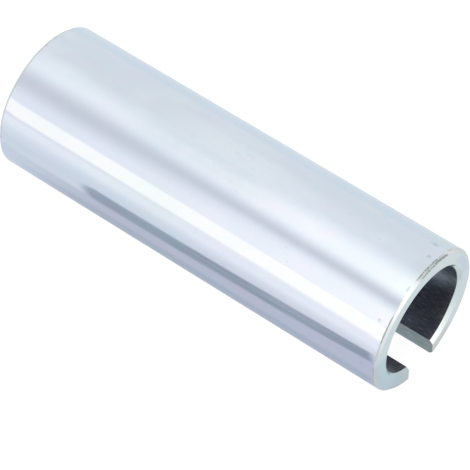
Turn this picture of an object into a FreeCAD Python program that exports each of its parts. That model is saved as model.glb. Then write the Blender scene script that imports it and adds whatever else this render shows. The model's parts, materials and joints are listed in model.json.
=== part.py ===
import FreeCAD, Part
import os

# Bore reducer bushing: a plain steel sleeve that slips on a 3/4 in shaft and fills a pulley or hub
# bored for a 1 in one. One slot, milled right through the wall along the whole length, lets the
# drive pass from the shaft to the hub. It is a single turned piece.
#
# The bore axis is X. The origin is on that axis, midway between the two end faces. Z is up, and the
# slot faces down, as the sleeve lies on a bench: it rests on the two long edges of the slot.

# Driving dimensions, in millimetres.
bore_diameter = 19.05  # 3/4 in: the shaft that goes inside
wall_thickness = 3.175  # 1/8 in: brings the outside up to 1 in, the hub's bore
length = 76.2  # 3 in, from end face to end face
slot_width = 6.35  # 1/4 in, between the slot's two parallel walls
outer_chamfer = 0.5  # 45 degree lead-in round the outside of each end
bore_chamfer = 0.5  # 45 degree lead-in round each mouth of the bore
slot_edge_break = 0.12  # deburring of the slot's long edges, inside and outside

# Worked out from the driving dimensions.
bore_radius = bore_diameter / 2
outer_radius = bore_radius + wall_thickness
half_length = length / 2
half_slot = slot_width / 2

same_place = 1e-6  # two coordinates closer than this are one


def turned_blank():
    """The sleeve as it comes off the lathe: its section, chamfers and all, turned about X."""
    section = [
        (half_length - bore_chamfer, bore_radius),
        (half_length, bore_radius + bore_chamfer),
        (half_length, outer_radius - outer_chamfer),
        (half_length - outer_chamfer, outer_radius),
    ]
    section += [(-x, radius) for x, radius in reversed(section)]
    corners = [FreeCAD.Vector(x, 0, radius) for x, radius in section]
    face = Part.Face(Part.makePolygon(corners + corners[:1]))
    return face.revolve(FreeCAD.Vector(0, 0, 0), FreeCAD.Vector(1, 0, 0), 360)


def milled_slot():
    """What the cutter takes away: from the bore axis down through the lower wall, end to end."""
    corner = FreeCAD.Vector(-half_length, -half_slot, -outer_radius)
    return Part.makeBox(length, slot_width, outer_radius, corner)


def long_slot_edges(slotted):
    """The four straight edges where the slot's walls meet the outside and the bore."""

    def on_a_wall(point):
        return abs(abs(point.y) - half_slot) < same_place

    def along_the_bore(edge):
        start, end = (vertex.Point for vertex in edge.Vertexes)
        level = abs(start.y - end.y) < same_place and abs(start.z - end.z) < same_place
        return level and on_a_wall(start) and on_a_wall(end)

    straight = [edge for edge in slotted.Edges if isinstance(edge.Curve, Part.Line)]
    return [edge for edge in straight if along_the_bore(edge)]


def sleeve():
    """The finished bushing: blank, slot, then the slot's long edges deburred."""
    slotted = turned_blank().cut(milled_slot())
    return slotted.makeChamfer(slot_edge_break, long_slot_edges(slotted))


os.makedirs("parts", exist_ok=True)
sleeve().exportStep("parts/sleeve.step")
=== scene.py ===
import json
import math

import bpy
from mathutils import Matrix, Vector


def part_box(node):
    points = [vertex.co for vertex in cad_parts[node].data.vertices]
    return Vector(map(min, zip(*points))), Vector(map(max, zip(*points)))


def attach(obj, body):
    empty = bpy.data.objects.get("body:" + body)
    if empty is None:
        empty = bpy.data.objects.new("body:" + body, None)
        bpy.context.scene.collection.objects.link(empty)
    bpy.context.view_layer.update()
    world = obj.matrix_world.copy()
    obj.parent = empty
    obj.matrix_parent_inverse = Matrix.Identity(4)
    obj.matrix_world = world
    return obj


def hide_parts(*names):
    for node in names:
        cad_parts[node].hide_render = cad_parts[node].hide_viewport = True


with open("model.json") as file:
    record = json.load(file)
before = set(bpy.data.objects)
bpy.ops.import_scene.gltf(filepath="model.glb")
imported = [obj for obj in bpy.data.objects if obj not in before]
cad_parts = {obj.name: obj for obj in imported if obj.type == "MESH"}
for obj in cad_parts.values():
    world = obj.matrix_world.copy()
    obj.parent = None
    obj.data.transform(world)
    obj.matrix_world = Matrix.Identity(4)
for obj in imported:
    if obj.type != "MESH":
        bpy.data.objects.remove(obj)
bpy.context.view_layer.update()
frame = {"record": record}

# The camera looks down on the bushing from above its worn end and a little to one side, with a long
# lens, so that the sleeve fills the square picture from corner to corner.
camera_azimuth = math.radians(37.95)  # from -Y towards +X
camera_elevation = math.radians(51.83)
camera_roll = math.radians(-0.2)
camera_distance = 0.4774
field_of_view = math.radians(9.02)
nearest_seen = 0.01
aim_right = 0.00073  # the middle of the picture, from the part's origin
aim_up = -0.0049

view_back = Vector((
    math.sin(camera_azimuth) * math.cos(camera_elevation),
    -math.cos(camera_azimuth) * math.cos(camera_elevation),
    math.sin(camera_elevation),
))
level_right = Vector((math.cos(camera_azimuth), math.sin(camera_azimuth), 0))
view_right = Matrix.Rotation(camera_roll, 3, view_back) @ level_right
view_up = view_back.cross(view_right)
camera_data = bpy.data.cameras.new("camera")
camera_data.angle = field_of_view
camera_data.clip_start = nearest_seen
camera = bpy.data.objects.new("camera", camera_data)
turn_to_view = Matrix((view_right, view_up, view_back)).transposed()
aim = view_right * aim_right + view_up * aim_up
camera.matrix_world = Matrix.Translation(aim + view_back * camera_distance) @ turn_to_view.to_4x4()
bpy.context.scene.collection.objects.link(camera)
bpy.context.scene.camera = camera

# The sleeve: a steel tube turned to size, with one slot milled through its wall from end to end,
# then zinc plated. Its section, with the lead-ins and the softened edges of both ends, is drawn as
# a curve and turned about the bore axis until it meets the two parallel walls of the slot.
mm = 1000.0  # to a metre
mount = {row["name"]: row for row in frame["record"]["mounts"]}
low_corner, high_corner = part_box("sleeve")
half_length = high_corner.x
outer_radius = high_corner.y
bore_radius = mount["bore"]["dims"]["r_mm"] / mm
end_chamfer = half_length - mount["outside"]["dims"]["length_mm"] / mm / 2
bore_chamfer = half_length - mount["bore"]["dims"]["length_mm"] / mm / 2
cad_edge_break = 0.00012
slot_lip = math.sqrt(high_corner.z**2 - low_corner.z**2)  # half the slot's deburred mouth
half_slot = slot_lip + cad_edge_break * low_corner.z / high_corner.z
slot_edge_round = 0.00014
turned_edge_round = 0.00009
bore_lead_in_wider = 0.00025
bore_lead_in_deeper = 0.00017
fade_behind_lead_in = 0.002
widens_between = (-50.0, -100.0)  # degrees round the sleeve, from the top to the front
deepens_between = (-104.0, -138.0)

steps_round_turned_edge = 3
columns_round_sleeve = 360
columns_round_slot_edge = 5
flat_beside_slot_edge = 0.00012
finest_step = 0.00028
most_cuts = 30


class Field:
    """One output of a node. Sums on fields add the nodes that work them out."""

    def __init__(self, tree, made=None, output=0):
        self.tree = tree
        self.made = made
        self.output = output

    def node(self, kind, settings=None, inputs=None, output=0):
        """Adds a node of that kind to the tree. Its settings go in first, then values and links."""
        made = self.tree.nodes.new(kind)
        for name, value in (settings or {}).items():
            if name == "capture":
                made.capture_items.new(*value)
            else:
                setattr(made, name, value)
        for key, value in (inputs or {}).items():
            if isinstance(value, Field):
                value.feed(made.inputs[key])
            else:
                made.inputs[key].default_value = value
        return Field(self.tree, made, output)

    def feed(self, socket):
        self.tree.links.new(self.made.outputs[self.output], socket)

    def outputs(self):
        """Every output of this field's node, as fields."""
        return [Field(self.tree, self.made, number) for number in range(len(self.made.outputs))]

    def math(self, operation, *values):
        return self.node("ShaderNodeMath", {"operation": operation}, dict(enumerate(values)))

    def between(self, low, high):
        """0 up to low, 1 from high, and smooth between them. High may be the smaller of the two."""
        if low > high:
            return 1 - self.between(high, low)
        return self.node("ShaderNodeMapRange", {"interpolation_type": "SMOOTHSTEP"},
                         {0: self, 1: low, 2: high})

    def mix(self, first, second):
        """The first colour where this field is 0, and the second where it is 1."""
        return self.node("ShaderNodeMix", {"data_type": "RGBA"}, {0: self, 6: first, 7: second}, 2)

    def __add__(self, other):
        return self.math("ADD", self, other)

    def __radd__(self, other):
        return self.math("ADD", other, self)

    def __sub__(self, other):
        return self.math("SUBTRACT", self, other)

    def __rsub__(self, other):
        return self.math("SUBTRACT", other, self)

    def __mul__(self, other):
        return self.math("MULTIPLY", self, other)

    def __rmul__(self, other):
        return self.math("MULTIPLY", other, self)

    def __truediv__(self, other):
        return self.math("DIVIDE", self, other)

    def __mod__(self, other):
        return self.math("MODULO", self, other)

    def __gt__(self, other):
        return self.math("GREATER_THAN", self, other)

    def __lt__(self, other):
        return self.math("LESS_THAN", self, other)

    def __abs__(self):
        return self.math("ABSOLUTE", self)

    def __neg__(self):
        return self.math("MULTIPLY", self, -1.0)


def strongest(first, *others):
    """At each place, the greatest of the fields."""
    for other in others:
        first = first.math("MAXIMUM", first, other)
    return first


def sleeve_tree():
    """The sleeve's shape as a geometry node tree with its sizes as named inputs."""
    tree = bpy.data.node_groups.new("turned_and_slotted_sleeve", "GeometryNodeTree")
    sizes = [
        "Half length", "Outer radius", "Bore radius", "Half slot", "Outer chamfer",
        "Bore chamfer", "Turned edge round", "Slot edge round", "Lead-in wider", "Lead-in deeper",
    ]
    for size in sizes:
        tree.interface.new_socket(size, in_out="INPUT", socket_type="NodeSocketFloat")
    tree.interface.new_socket("Finish", in_out="INPUT", socket_type="NodeSocketMaterial")
    tree.interface.new_socket("Sleeve", in_out="OUTPUT", socket_type="NodeSocketGeometry")
    net = Field(tree)
    given = net.node("NodeGroupInput").outputs()
    (half_length, outer_radius, bore_radius, half_slot, outer_chamfer, bore_chamfer,
     turned_edge_round, slot_edge_round, lead_in_wider, lead_in_deeper, finish) = given[:11]
    wall = outer_radius - bore_radius
    half_wall = wall * 0.5
    middle_radius = (outer_radius + bore_radius) * 0.5

    # The section through the wall: a bar as long as the sleeve and as high as the wall, with a
    # lead-in at each corner, each edge rounded a little, and the long sides cut into short steps.
    bar = net.node("GeometryNodeCurvePrimitiveQuadrilateral", inputs={0: half_length * 2, 1: wall})
    point = net.node("GeometryNodeInputPosition")
    across = net.node("ShaderNodeSeparateXYZ", inputs={0: point}, output=1)
    outside = across > 0.0
    lead_in = outer_chamfer * outside + bore_chamfer * (1 - outside)
    section = net.node("GeometryNodeFilletCurve", {"mode": "POLY"}, {0: bar, 1: 1, 2: lead_in})
    section = net.node("GeometryNodeFilletCurve", {"mode": "POLY"},
                       {0: section, 1: steps_round_turned_edge, 2: turned_edge_round})
    index = net.node("GeometryNodeInputIndex")
    count = net.node("GeometryNodeSplineLength", output=1)
    next_point = net.node(
        "GeometryNodeFieldAtIndex", {"data_type": "FLOAT_VECTOR", "domain": "POINT"},
        {0: point, 1: (index + 1.0) % count})
    stretch = net.node("ShaderNodeVectorMath", {"operation": "DISTANCE"},
                       {0: point, 1: next_point}, output=1)
    cuts = net.math("MINIMUM", stretch / finest_step, float(most_cuts))
    section = net.node("GeometryNodeSubdivideCurve", inputs={0: section, 1: cuts})
    section, drawn_at = net.node(
        "GeometryNodeCaptureAttribute", {"capture": ("VECTOR", "place in section")},
        {0: section, 1: point}).outputs()[:2]
    along, above_middle, _ = net.node("ShaderNodeSeparateXYZ", inputs={0: drawn_at}).outputs()

    # The section goes round in equal columns. Past the last of them, at each wall of the slot, a
    # few more columns roll the edge over, and one more starts the flat wall.
    extra_columns = columns_round_slot_edge + 1
    last_column = columns_round_sleeve + 2 * extra_columns
    path = net.node("GeometryNodeCurvePrimitiveLine", {"mode": "POINTS"},
                    {0: (-1.0, 0.0, 0.0), 1: (1.0, 0.0, 0.0)})
    path = net.node("GeometryNodeResampleCurve", {"mode": "COUNT"},
                    {0: path, "Count": last_column + 1})
    path, column = net.node("GeometryNodeCaptureAttribute", {"capture": ("FLOAT", "column")},
                            {0: path, 1: index}).outputs()[:2]
    swept = net.node("GeometryNodeCurveToMesh", inputs={0: path, 1: section, "Fill Caps": True})

    before = extra_columns - column
    after = column - (last_column - extra_columns)
    past_edge = strongest(before, after, 0.0)
    rolled = net.math("MINIMUM", past_edge / columns_round_slot_edge, 1.0) * (math.pi / 2)
    started_wall = past_edge > columns_round_slot_edge + 0.5
    sunk = slot_edge_round * (1 - net.math("COSINE", rolled)) + flat_beside_slot_edge * started_wall
    from_middle = half_slot + slot_edge_round * (1 - net.math("SINE", rolled))
    x = along * (half_length - sunk) / half_length
    radius = middle_radius + above_middle * (half_wall - sunk) / half_wall
    share = (column - extra_columns) / columns_round_sleeve
    share = net.node("ShaderNodeClamp", inputs={0: share}) * 2 - 1

    # The lead-in of the bore was cut by hand: it widens round the back and goes deepest by the
    # slot. Each ridge is 1 on the edge that moves, and falls to 0 on both sides of it.
    def ridge(rise, fall):
        return strongest(net.math("MINIMUM", rise, fall), 0.0)

    turned = share * 180
    from_bore = half_wall + above_middle
    on_face_edge = ridge(from_bore / bore_chamfer,
                         (half_wall - from_bore) / (half_wall - bore_chamfer))
    radius = radius + lead_in_wider * turned.between(*widens_between) * on_face_edge
    from_corner = abs(along) - (half_length - bore_chamfer)
    on_bore_edge = ridge(1 - from_corner / bore_chamfer, 1 + from_corner / fade_behind_lead_in)
    on_bore_edge = on_bore_edge * (above_middle < 0.0)
    inward = lead_in_deeper * turned.between(*deepens_between) * on_bore_edge
    x = x + inward * (1 - (along > 0.0) * 2)
    angle = share * (math.pi - net.math("ARCSINE", from_middle / radius))
    place = net.node("ShaderNodeCombineXYZ", inputs={
        0: x,
        1: -radius * net.math("SINE", angle),
        2: radius * net.math("COSINE", angle),
    })
    shaped = net.node("GeometryNodeSetPosition", inputs={"Geometry": swept, "Position": place})

    # The two slot walls are single flat faces so far: they are cut into well-shaped triangles.
    corners = net.node("GeometryNodeInputMeshFaceNeighbors", output=0)
    shaped = net.node("GeometryNodeTriangulate", {"ngon_method": "BEAUTY"},
                      {0: shaped, "Selection": corners > 4.0})
    shaped = net.node("GeometryNodeSetShadeSmooth", inputs={0: shaped})
    shaped = net.node("GeometryNodeRealizeInstances", inputs={0: shaped})
    shaped = net.node("GeometryNodeSetMaterial", inputs={0: shaped, "Material": finish})
    net.node("NodeGroupOutput", inputs={0: shaped})
    return tree


# Its finish is bright zinc plate, blue passivated. The outside was ground first and mirrors its
# surroundings. The ends keep the lathe's rings and the slot the cutter's long marks. The plate
# hardly reached the bore, which stays dark.
zinc_plate = bpy.data.materials.new("zinc_plate")
zinc_plate.use_nodes = True
net = Field(zinc_plate.node_tree)
shader = zinc_plate.node_tree.nodes["Principled BSDF"]


def places_in_millimetres(net):
    """Where a point lies on its own object: x, y and z as three fields."""
    metres = net.node("ShaderNodeTexCoord", output=3)
    scaled = net.node("ShaderNodeVectorMath", {"operation": "SCALE"}, {0: metres, "Scale": mm})
    return net.node("ShaderNodeSeparateXYZ", inputs={0: scaled}).outputs()


def clouds(u, v, w, detail=3.0, roughness=0.5):
    """Even noise from 0 to 1 whose lumps are about one unit wide along each of three fields."""
    point = u.node("ShaderNodeCombineXYZ", inputs={0: u, 1: v, 2: w})
    return u.node("ShaderNodeTexNoise", inputs={
        "Vector": point, "Scale": 1.0, "Detail": detail, "Roughness": roughness})


def hypotenuse(first, second):
    return first.math("SQRT", first * first + second * second)


def laid_over(colour, *layers):
    """That colour with others laid over it in turn, each given as its cover and its colour."""
    for cover, other in layers:
        colour = cover.mix(colour, other)
    return colour


# Places on the sleeve are in millimetres, and the angle round it goes in degrees from the top to
# the front.
x, y, z = places_in_millimetres(net)
radius = hypotenuse(y, z)
angle = net.math("ARCTAN2", -y, z) * math.degrees(1)
from_end = half_length * mm - abs(x)
below_outside = outer_radius * mm - radius
skin = 0.05  # how far from a surface its own finish reaches
on_outside = below_outside.between(skin, skin / 3)
in_bore = (radius - bore_radius * mm).between(skin, skin / 3)
from_slot_wall = abs(abs(y) - half_slot * mm)
on_slot_wall = from_slot_wall.between(skin, skin / 3) * (z < 0.0)
worn_end = x > 0.0


def arc(first, last, fade):
    """1 from one angle round the sleeve to the other, fading out over some degrees past them."""
    return angle.between(first - fade, first) * angle.between(last + fade, last)


# The tint of the plate drifts in broad patches, as passivation does, and it is mottled on top.
plate_blue = (0.75, 0.805, 0.895, 1)
plate_lavender = (0.80, 0.82, 0.92, 1)
plate_green = (0.74, 0.83, 0.85, 1)
plate_haze_and_sheen = (0.84, 0.89, 0.95, 1)
plate_dull = (0.66, 0.72, 0.79, 1)
plate_lilac = (0.82, 0.79, 0.90, 1)
plate_sky = (0.71, 0.81, 0.90, 1)
plate_rose = (0.84, 0.79, 0.88, 1)
plate_ice = (0.69, 0.80, 0.90, 1)
plate_grey = (0.74, 0.80, 0.815, 1)
drift = clouds(x * 0.045, y * 0.09, z * 0.09, 2.0)
greenish = clouds(x * 0.03 + 7.0, y * 0.06, z * 0.06, 2.0)
mottled = clouds(x * 0.10, y * 0.15, z * 0.15 + 4.0, 2.5, 0.55).between(0.42, 0.68)
mottled = mottled * arc(-20, 4, 16)
# A pale patch on top at mid-length is a painted highlight; the mottling shares its pale colour.
painted_sheen_on_top = arc(-9, 0, 11) * abs(x).between(19.0, 2.0)
dulled = arc(11, 17, 8) * abs(x + 3.0).between(22.0, 4.0)
tinge = clouds(x * 0.25, y * 0.4, z * 0.4 + 20.0, 3.0, 0.6)
spots = clouds(x * 0.8, y * 0.8, z * 0.8 + 9.0, 2.0, 0.7).between(0.66, 0.74) * worn_end
low_patches = clouds(x * 0.12, angle * 0.04, z * 0.1, 3.0, 0.6)
pinkish = arc(87, 97, 5) * low_patches.between(0.40, 0.62) * x.between(-34.0, -24.0)
bluish = arc(102, 113, 5) * low_patches.between(0.60, 0.38) * abs(x + 20.0).between(3.0, 12.0)
greyed_end = arc(-62, -38, 10) * x.between(29.0, 36.0)
plate = laid_over(
    plate_blue,
    (drift.between(0.38, 0.62) * 0.6, plate_lavender),
    (greenish.between(0.45, 0.7) * 0.5, plate_green),
    (strongest(mottled * 0.45, painted_sheen_on_top * 0.8), plate_haze_and_sheen),
    (dulled * 0.6, plate_dull),
    (tinge.between(0.54, 0.70) * 0.4, plate_lilac),
    (tinge.between(0.46, 0.32) * 0.4, plate_sky),
    (spots * 0.5, plate_dull),
    (pinkish * 0.5, plate_rose),
    (bluish * 0.8, plate_ice),
    (greyed_end, plate_grey))
smudges = clouds(x * 0.12, y * 0.25, z * 0.25, 4.0)
plate_roughness = 0.07 + smudges * 0.05 + mottled * 0.03
wave_height = 0.010
grinding_depth = 0.00012
waves = clouds(x * 0.10, y * 0.16, z * 0.16, 1.0)
grinding = clouds(x * 5.0, angle * 0.05, 0.0, 2.0)
plate_height = waves * wave_height + grinding * grinding_depth

# The ends are turned: fine rings round the bore axis, and patches of tint of their own. The mouth
# of the bore is painted dark in a few places on the worn end: painted shade, where its lead-in
# mirrors something dark. Each flat face runs from radius 10.0 to 12.2.
turned_grey = (0.72, 0.76, 0.76, 1)
turned_light = (0.77, 0.83, 0.83, 1)
end_mist = (0.66, 0.76, 0.79, 1)
end_lavender = (0.65, 0.70, 0.80, 1)
end_teal_shade = (0.56, 0.69, 0.73, 1)
end_lip_grey = (0.55, 0.61, 0.62, 1)
end_beige = (0.71, 0.67, 0.64, 1)
mouth_shade_grey = (0.22, 0.22, 0.22, 1)
ring_depth = 0.0012
rings = clouds(radius * 9.0, angle * 0.01, 0.0, 2.0)
misty = clouds(angle * 0.05, radius * 0.3, x * 0.1, 2.0, 0.6)
lavender_patch = arc(-76, -54, 10) * abs(radius - 11.2).between(1.0, 0.3) * worn_end
# The lower front of each face is painted darker and teal: painted shade, mirroring the dim floor in
# front of it.
teal_painted_shade = arc(88, 160, 16) * (0.85 - 0.6 * radius.between(12.15, 12.35))
beige_patch = arc(-178, -146, 14) * radius.between(10.1, 10.5) * worn_end
# Painted shade in the mouth of the bore, darkest at the top right.
mouth_painted_shade = strongest(arc(-50, -33, 6), 0.35 * arc(110, 118, 6)) * radius.between(10.2, 9.9)
mouth_painted_shade = strongest(mouth_painted_shade, 0.17 * arc(-84, -74, 12) * radius.between(10.7, 10.0)) * worn_end
end_grey = laid_over(
    turned_grey,
    (rings * 0.5, turned_light),
    (misty.between(0.35, 0.65) * 0.35, end_mist),
    (lavender_patch * 0.9, end_lavender),
    (teal_painted_shade, end_teal_shade),
    (angle.between(120.0, 150.0) * 0.9, end_lip_grey),
    (beige_patch * 0.85, end_beige),
    (mouth_painted_shade, mouth_shade_grey))
end_roughness = 0.26 + rings * 0.1
end_height = rings * ring_depth

# The slot is milled: marks along it, a little uneven. Its greys are very dark, partly the milled
# finish and partly painted shade, as the walls lie low under the sleeve.
milled_grey_and_shade = (0.20, 0.24, 0.25, 1)
milled_light_and_shade = (0.35, 0.41, 0.42, 1)
mark_depth = 0.004
marks = clouds(x * 0.5, z * 9.0, y * 0.5, 2.0, 0.7)
wall_grey_and_shade = (marks.between(0.35, 0.65) * 0.9).mix(milled_grey_and_shade, milled_light_and_shade)
wall_roughness = 0.36 + marks * 0.12
wall_height = marks * mark_depth

# The bore is drawn: short light scores lie along it in a dark skin. On the side away from the front
# it is painted paler deep inside and darker by the mouth, painted light and shade, and where the
# lower lip shows the bore it is painted pale, also painted light.
bore_skin = (0.235, 0.25, 0.30, 1)
bore_lip_painted_light = (0.88, 0.88, 0.92, 1)
bore_shade = (0.15, 0.15, 0.17, 1)
bore_score = (0.45, 0.47, 0.53, 1)
score_depth = 0.004
scores = clouds(x * 0.9, angle * 1.5, radius * 0.5, 1.5, 0.6)
bore_dark = laid_over(
    bore_skin,
    (angle.between(132.0, 158.0), bore_lip_painted_light),
    (scores.between(0.48, 0.34) * 0.5, bore_shade),
    (scores.between(0.55, 0.70), bore_score))
painted_light_deep_inside = arc(-165, -78, 14) * from_end.between(1.6, 6.0)
painted_shade_by_mouth = arc(-150, -102, 20) * from_end.between(2.8, 0.6)
bore_dark = net.node("ShaderNodeVectorMath", {"operation": "SCALE"},
                     {0: bore_dark, "Scale": 1 + 0.8 * painted_light_deep_inside - 0.45 * painted_shade_by_mouth})
bore_roughness = 0.27 + scores * 0.12
bore_height = scores * score_depth

# Handling has rubbed the rims. On top of the worn end the lead-in is scraped to bare grey along
# both its edges, with a few rungs between them, and the edge above it is greyed.
scraped_grey = (0.24, 0.25, 0.245, 1)
scrape_depth = 0.01
bare_roughness = 0.5
lead_in = end_chamfer * mm
down_lead_in = below_outside / lead_in
on_lead_in = from_end.between(lead_in + 0.12, lead_in) * down_lead_in.between(1.25, 1.05)
speckle = clouds(angle * 0.7, x * 4.0, radius * 4.0, 3.0, 0.7)
chatter = clouds(angle * 0.9, x * 2.5, radius * 2.5, 1.0, 0.5).between(0.38, 0.56)
lumps = clouds(angle * 0.32, x * 1.6, radius * 1.6, 2.0, 0.6)


def line_down(middle, faint, full):
    """A line along the lead-in, some way down it: 0 at its outer edge and 1 at the end face."""
    return abs(down_lead_in - middle).between(faint, full)


thick_streak = line_down(0.62, 0.36, 0.14) * arc(-26, -11, 2.5)
outer_streak = line_down(0.10, 0.28, 0.06) * arc(-13, 9, 2.0)
inner_streak = line_down(0.84, 0.26, 0.06) * arc(-12, 6, 2.0)
rungs = arc(-12, 7, 2.0) * lumps.between(0.50, 0.62) * 0.6
greyed = arc(-22, 7, 4) * (0.1 + 0.3 * speckle)
scraped = on_lead_in * worn_end * strongest(
    strongest(outer_streak, inner_streak) * (0.3 + 0.7 * chatter),
    rungs * (0.5 + 0.5 * chatter),
    thick_streak * (0.58 + 0.34 * chatter),
    greyed)

# From there a thin line runs on along the lead-in's outer edge. The back of the lead-in is painted
# dull grey and made rougher, a painted shade that dims its reflection, and elsewhere only specks
# have gone from the edges.
rubbed_and_shade_grey = (0.42, 0.41, 0.39, 1)
broken = clouds(angle * 0.16, x * 0.2, radius * 0.2, 3.0, 0.65)
from_outer_edge = hypotenuse(from_end - lead_in, below_outside)
from_face_edge = hypotenuse(from_end, below_outside - lead_in)
thin_line = line_down(0.12, 0.24, 0.08) * (0.45 * arc(30, 74, 6) + 0.9 * arc(43, 60, 4))
thin_line = thin_line * from_end.between(lead_in + 0.06, lead_in) * worn_end
# Painted shade on the back of the lead-in.
painted_shade_back = arc(-88, -72, 6) * on_lead_in * worn_end
far_rim = from_outer_edge.between(0.16, 0.05) * (x < 0.0)
rubbed_and_painted_shade = strongest(
    thin_line * speckle.between(0.2, 0.5),
    from_outer_edge.between(0.15, 0.04) * broken.between(0.55, 0.62) * 0.6,
    from_face_edge.between(0.12, 0.04) * broken.between(0.60, 0.66) * 0.6,
    far_rim * broken.between(0.57, 0.63) * 0.8,
    painted_shade_back * 0.9)

# A few small knocks mark the outside close to the rims, and the rims themselves are soiled.
knock_grey = (0.44, 0.47, 0.52, 1)
soiled_beige = (0.70, 0.695, 0.66, 1)
knocks = [  # the place along the sleeve and the angle round it, then half the length and width
    (35.3, -28.0, 0.9, 2.6), (36.4, -12.0, 0.45, 2.2), (36.0, 47.5, 0.4, 1.6),
    (37.4, 19.0, 0.3, 3.0), (-37.5, 1.0, 0.3, 1.3), (-37.5, -10.0, 0.3, 1.3),
    (-37.4, 83.0, 0.2, 1.5),
]
knocked = strongest(*(
    hypotenuse((x - at_x) / half_long, (angle - at_angle) / half_wide).between(1.2, 0.2)
    for at_x, at_angle, half_long, half_wide in knocks))
knocked = knocked * (0.4 + 0.6 * speckle.between(0.34, 0.52)) * on_outside
soiled = arc(-95, -32, 12) + 0.3 * arc(52, 74, 8) + 0.7 * arc(90, 135, 10)
soiled = soiled * worn_end * from_end.between(1.3, 0.3) * (on_outside * 0.6 + on_lead_in)
soiled = net.math("MINIMUM", soiled * 0.7 + far_rim * 0.9, 1.0)


def by_place(on_ends, outside, slot_wall, bore):
    """A height or roughness: one for the ends, and others where the three masks take over."""
    value = on_ends + (outside - on_ends) * on_outside
    value = value + (slot_wall - value) * on_slot_wall
    return value + (bore - value) * in_bore


colour = laid_over(
    end_grey,
    (on_outside, plate),
    (on_slot_wall, wall_grey_and_shade),
    (in_bore, bore_dark),
    (soiled, soiled_beige),
    (rubbed_and_painted_shade, rubbed_and_shade_grey),
    (knocked * 0.55, knock_grey),
    (scraped, scraped_grey))
roughness = by_place(end_roughness, plate_roughness, wall_roughness, bore_roughness)
roughness = roughness + (bare_roughness - roughness) * strongest(rubbed_and_painted_shade, scraped)
height = by_place(end_height, plate_height, wall_height, bore_height) - scraped * scrape_depth
bump = net.node("ShaderNodeBump", inputs={"Strength": 1.0, "Distance": 0.001, "Height": height})

shader.inputs["Metallic"].default_value = 1.0
colour.feed(shader.inputs["Base Color"])
roughness.feed(shader.inputs["Roughness"])
bump.feed(shader.inputs["Normal"])

sleeve = bpy.data.objects.new("slotted_sleeve", bpy.data.meshes.new("slotted_sleeve"))
bpy.context.scene.collection.objects.link(sleeve)
shape = sleeve.modifiers.new("shape", "NODES")
shape.node_group = sleeve_tree()
sleeve_inputs = {
    "Half length": half_length,
    "Outer radius": outer_radius,
    "Bore radius": bore_radius,
    "Half slot": half_slot,
    "Outer chamfer": end_chamfer,
    "Bore chamfer": bore_chamfer,
    "Turned edge round": turned_edge_round,
    "Slot edge round": slot_edge_round,
    "Lead-in wider": bore_lead_in_wider,
    "Lead-in deeper": bore_lead_in_deeper,
    "Finish": zinc_plate,
}
for item in shape.node_group.interface.items_tree:
    if item.in_out == "INPUT":
        shape[item.identifier] = sleeve_inputs[item.name]
evaluated = sleeve.evaluated_get(bpy.context.evaluated_depsgraph_get())
sleeve.data = bpy.data.meshes.new_from_object(evaluated)
sleeve.modifiers.clear()

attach(sleeve, "root")
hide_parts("sleeve")

# The floor under it is plain and white. It glows to the camera and in mirrors and glass, and the
# rest of its light is what it scatters, so that it keeps the sleeve's soft shadow.
floor_height = low_corner.z
floor_half_width = 2.5
floor_paint = (0.21, 0.21, 0.21, 1)
floor_white = 0.91


def flat_sheet(name, height):
    """A square sheet as wide as the floor, with a bare material, at that height."""
    mesh = bpy.data.meshes.new(name)
    corners = [(sx * floor_half_width, sy * floor_half_width, height)
               for sx, sy in ((-1, -1), (1, -1), (1, 1), (-1, 1))]
    mesh.from_pydata(corners, [], [(0, 1, 2, 3)])
    paint = bpy.data.materials.new(name)
    paint.use_nodes = True
    paint.node_tree.nodes.clear()
    mesh.materials.append(paint)
    sheet = bpy.data.objects.new(name, mesh)
    bpy.context.scene.collection.objects.link(sheet)
    return sheet


floor = flat_sheet("floor", floor_height)
net = Field(floor.data.materials[0].node_tree)
ray = net.node("ShaderNodeLightPath").outputs()
to_camera, to_mirror, to_glass = ray[0], ray[3], ray[6]
looked_at = strongest(to_camera, to_mirror, to_glass)
painted = net.node("ShaderNodeBsdfDiffuse", inputs={0: floor_paint})
glow = net.node("ShaderNodeEmission", inputs={0: (1, 1, 1, 1), 1: looked_at * floor_white})
finish = net.node("ShaderNodeAddShader", inputs={0: painted, 1: glow})
net.node("ShaderNodeOutputMaterial", inputs={0: finish})

# Round it hangs a white tent. It is brightest overhead and pale at the back, and dims softly where
# the camera looks in. To the camera itself it is plain white.
world = bpy.data.worlds.new("tent")
bpy.context.scene.world = world
world.use_nodes = True
world.node_tree.nodes.clear()
net = Field(world.node_tree)
toward = net.node("ShaderNodeTexCoord", output=0)
toward_x, toward_y, toward_z = net.node("ShaderNodeSeparateXYZ", inputs={0: toward}).outputs()
# Round the axis it is measured in degrees too, from overhead to the front.
round_axis = net.math("ARCTAN2", -toward_y, toward_z) * math.degrees(1)
along_sleeve = toward_x.between(-0.46, -0.30)

back_level = 0.86
overhead_level = 1.02 + 0.22 * along_sleeve
front_level = 0.96 + 0.23 * along_sleeve
camera_level = 0.75
from_back = round_axis.between(-32.0, 2.0)
to_overhead = ((31.0 - round_axis) / (28.0 - 9.0 * along_sleeve)).between(0.0, 1.0)
to_front = (round_axis - 33.0 + 4.0 * along_sleeve) / (27.0 - 6.0 * along_sleeve)
overhead_side = camera_level + (overhead_level - camera_level) * to_overhead
level = back_level + (overhead_side - back_level) * from_back
level = level + (front_level - level) * to_front.between(0.0, 1.0)
back_glow = abs(round_axis + 34.0).between(34.0, 0.0) * abs(toward_x + 0.355).between(0.07, 0.0)
front_glow = abs(round_axis - 40.0).between(12.0, 0.0) * abs(toward_x + 0.3655).between(0.06, 0.0)
behind_strip = abs(round_axis - 77.4).between(12.0, 8.5)
level = level + 0.07 * back_glow + 0.14 * front_glow - 0.15 * behind_strip * along_sleeve

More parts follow.
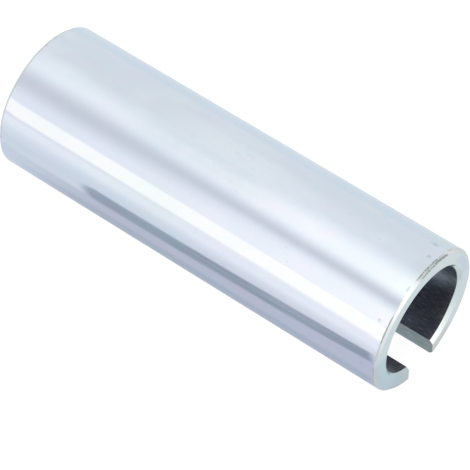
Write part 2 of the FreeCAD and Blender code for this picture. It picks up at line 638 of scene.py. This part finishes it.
tent_back = (0.965, 1.0, 1.0, 1)
tent_front = (0.985, 1.0, 1.02, 1)
tent_bright = (1.0, 0.985, 0.95, 1)
tent_dim = (0.985, 0.995, 1.035, 1)
tent_warm = (1.0, 0.975, 0.90, 1)
tent_colour = laid_over(
    tent_back,
    (round_axis.between(0.0, 50.0), tent_front),
    (level.between(0.95, 1.2), tent_bright),
    (level.between(0.86, 0.77), tent_dim),
    (behind_strip, tent_warm))
tent = net.node("ShaderNodeBackground", inputs={0: tent_colour, 1: level})
plain_white = net.node("ShaderNodeBackground", inputs={0: (1, 1, 1, 1), 1: 1.0})
to_camera = net.node("ShaderNodeLightPath")
background = net.node("ShaderNodeMixShader", inputs={0: to_camera, 1: tent, 2: plain_white})
net.node("ShaderNodeOutputWorld", inputs={0: background})

# Two lamps stand round it: a long strip along the front, for the bright band over the dark stripe,
# and a smaller one off the worn end, for the white line on its lead-in.
lamp_white = (1.0, 0.95, 0.88)


def softbox(name, middle, width, height, radiance):
    """A rectangular lamp, a little warm, that stands upright and faces the sleeve's axis."""
    data = bpy.data.lights.new(name, "AREA")
    data.shape = "RECTANGLE"
    data.size = width
    data.size_y = height
    data.energy = radiance * math.pi * width * height
    data.color = lamp_white
    back = Vector((middle[0], middle[1], 0)).normalized()
    side = Vector((0, 0, 1)).cross(back)
    turn = Matrix((side, Vector((0, 0, 1)), back)).transposed()
    lamp = bpy.data.objects.new(name, data)
    lamp.matrix_world = Matrix.Translation(middle) @ turn.to_4x4()
    lamp.visible_camera = False
    bpy.context.scene.collection.objects.link(lamp)


softbox("front_strip", middle=(-0.1, -0.6, 0.139), width=1.8, height=0.212, radiance=0.25)
softbox("end_lamp", middle=(0.567, -0.036, 0.185), width=0.46, height=0.23, radiance=0.62)

# A graded card lies round the sleeve, out of the camera's sight. It glows by itself, and the
# polished side mirrors it: pale at the back, dimmer close in front, with one dark stripe, and
# bright off the worn end. These tones are painted light and shade: the grey behind stands for the
# sleeve's shadow on the floor, and the brighter-than-white end for more light there.
card_above_floor = 0.0002
card = flat_sheet("graded_card", floor_height + card_above_floor)
net = Field(card.data.materials[0].node_tree)
x, y, _ = places_in_millimetres(net)
in_front = -y
by_worn_end = x.between(38.0, 33.0)

# The stripe starts blunt near the far end, widens as it goes and swerves forward by the worn end,
# where it fades out. Paler streaks run along it. Places on the card are in millimetres, along the
# sleeve and in front of its axis.
stripe_dark = (0.33, 0.385, 0.445, 1)
stripe_light = (0.43, 0.485, 0.55, 1)
stripe_gone = (0.78, 0.81, 0.86, 1)
soft_edge = 1.2
swerve = strongest(x - 20.0, 0.0)
near_edge = 22.4 + 0.10 * x + 0.0015 * x * x + 0.22 * swerve
far_edge = 35.5 + 0.24 * x + 0.0045 * x * x + 0.22 * swerve
past_near_edge = (in_front - near_edge).between(-soft_edge, soft_edge)
past_far_edge = (in_front - far_edge).between(-soft_edge, soft_edge)
blunt_start = x.between(-31.9, -28.7) * (x + 0.6 * in_front).between(-15.6, -11.8)
slanted_end = (x + 0.344 * in_front).between(45.2, 39.6)
streaks = clouds(x * 0.05, in_front * 0.45, 0.0, 2.0).between(0.42, 0.66)
streaks = strongest(streaks, abs(x + 15.0).between(9.0, 3.0) * 0.5)
stripe = streaks.mix(stripe_dark, stripe_light)
stripe = (blunt_start * by_worn_end * slanted_end).mix(stripe_gone, stripe)

# Between the stripe and the sleeve the card is dim, and dimmest close to the sleeve: painted shadow
# of the sleeve on the floor. Beyond the stripe it is paler, and turns white further out.
inside_far_end = (0.71, 0.75, 0.83, 1)
inside_painted_shadow = (0.575, 0.60, 0.69, 1)
inside_painted_shadow_deepest = (0.48, 0.52, 0.60, 1)
beyond_worn_half = (0.74, 0.76, 0.80, 1)
beyond_far_half = (0.76, 0.79, 0.86, 1)
beyond_far_end = (0.82, 0.84, 0.88, 1)
card_far_out = (1.00, 1.005, 1.01, 1)
card_painted_shade_behind = (0.765, 0.835, 0.862, 1)
card_painted_glow_off_worn_end = (1.03, 1.04, 1.07, 1)
# Where the painted shadow reaches, from the far end to the worn end.
dims = x.between(-44.0, -19.0) * by_worn_end
inside = laid_over(
    inside_far_end,
    (dims, inside_painted_shadow),
    (in_front.between(17.0, 13.0) * dims, inside_painted_shadow_deepest))
beyond = laid_over(
    beyond_worn_half,
    (x.between(-4.0, -14.0), beyond_far_half),
    (x.between(-32.0, -60.0), beyond_far_end),
    (in_front.between(20.0, 100.0), card_far_out))
front = laid_over(inside, (past_near_edge, stripe), (past_far_edge, beyond))
# Painted shade behind the sleeve, and a painted glow off its worn end.
tone = in_front.between(0.0, 10.0).mix(card_painted_shade_behind, front)
tone = x.between(41.0, 80.0).mix(tone, card_painted_glow_off_worn_end)
glow = net.node("ShaderNodeEmission", inputs={0: tone, 1: 1.0})
net.node("ShaderNodeOutputMaterial", inputs={0: glow})
card.visible_camera = False
card.visible_diffuse = False
card.visible_shadow = False
card.visible_transmission = False

bpy.context.scene.view_settings.view_transform = "Standard"
